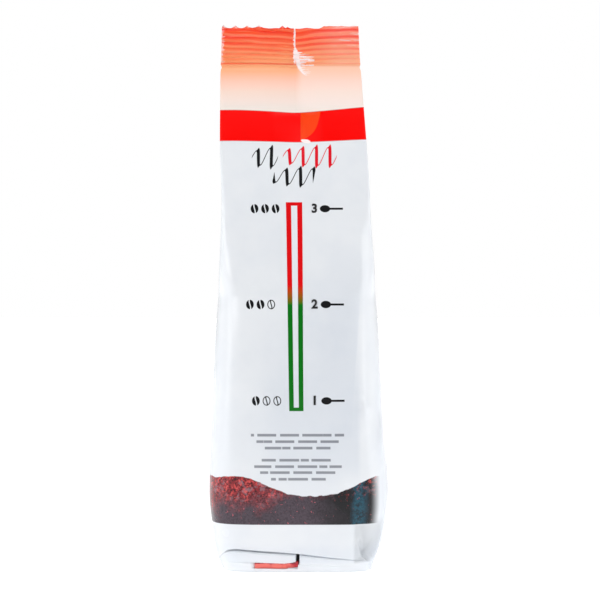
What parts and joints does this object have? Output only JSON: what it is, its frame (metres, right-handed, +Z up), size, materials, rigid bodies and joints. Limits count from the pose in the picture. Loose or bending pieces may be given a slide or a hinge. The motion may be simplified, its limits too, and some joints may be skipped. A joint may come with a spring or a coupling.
{
  "type": "coffee bag",
  "caption": "Filled side-gusset coffee bag of laminated film that stands on its folded base, with a crimped flat seal across its top.",
  "frame": {"origin": "middle of the base, on the surface that the bag stands on", "axes": "+Z up along the bag, -Y out of the panel with the strength scale, +X to that panel's right"},
  "size_m": [0.077, 0.0864, 0.2368],
  "materials": {
    "film": "glossy printed laminate"
  },
  "bodies": {
    "root": {"coffee_bag": "film"}
  },
  "joints": []
}
